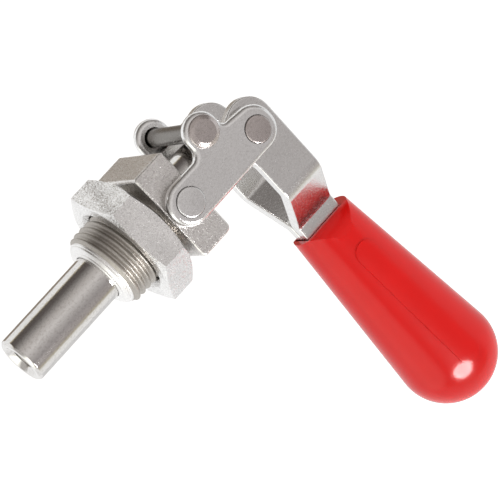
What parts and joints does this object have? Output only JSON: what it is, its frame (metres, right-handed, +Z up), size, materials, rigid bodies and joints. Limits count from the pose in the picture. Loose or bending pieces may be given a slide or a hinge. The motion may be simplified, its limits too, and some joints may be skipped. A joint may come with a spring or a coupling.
{
  "type": "toggle clamp",
  "caption": "Straight-line toggle clamp: threaded barrel and jam nut on a square block, sliding plunger, rocking side links and a hand lever with a moulded grip.",
  "frame": {"origin": "on the plunger's axis, at the shoulder of the block that bears on the panel the barrel goes through", "axes": "+X along the plunger from its tip back to the linkage, +Z up and away from the hanging lever, Y along the pins with the left side at -Y"},
  "size_m": [0.0682, 0.0268, 0.081],
  "materials": {
    "zinc_plated_steel": "bright zinc plate, satin",
    "plated_casting": "zinc plate over a fine-grained surface",
    "ground_steel": "bright ground and plated",
    "red_plastic": "glossy, moulded"
  },
  "bodies": {
    "block": {"body": "plated_casting", "body_rivet_left": "zinc_plated_steel", "body_rivet_right": "zinc_plated_steel"},
    "nut": {"jam_nut": "plated_casting"},
    "rod": {"plunger": "ground_steel", "plunger_pin": "zinc_plated_steel", "pin_bush_left": "zinc_plated_steel", "pin_bush_right": "zinc_plated_steel"},
    "links": {"link_left": "zinc_plated_steel", "link_right": "zinc_plated_steel", "stop_pin": "zinc_plated_steel"},
    "lever": {"handle_plate_left": "zinc_plated_steel", "handle_plate_right": "zinc_plated_steel", "handle_rivet_left": "zinc_plated_steel", "handle_rivet_right": "zinc_plated_steel", "ear_pin_left": "zinc_plated_steel", "ear_pin_right": "zinc_plated_steel", "grip": "red_plastic"}
  },
  "joints": [
    {"name": "link_pivot", "type": "hinge", "parent": "block", "child": "links", "pos_m": [0.0041, 0, 0], "axis": [0, -1, 0], "range_deg": [0, 26]},
    {"name": "handle_pivot", "type": "hinge", "parent": "links", "child": "lever", "pos_m": [0.0222, 0, -0.0001], "axis": [0, -1, 0], "range_deg": [0, 183]},
    {"name": "plunger_slide", "type": "slide", "parent": "block", "child": "rod", "axis": [1, 0, 0], "range_m": [0, 0.016]},
    {"name": "nut_spin", "type": "hinge", "parent": "block", "child": "nut", "pos_m": [-0.00445, 0, 0], "axis": [1, 0, 0], "continuous": true}
  ],
  "couplings": [
    {"joint": "plunger_slide", "follows": "handle_pivot", "m_per_rad": 0.005009}
  ]
}
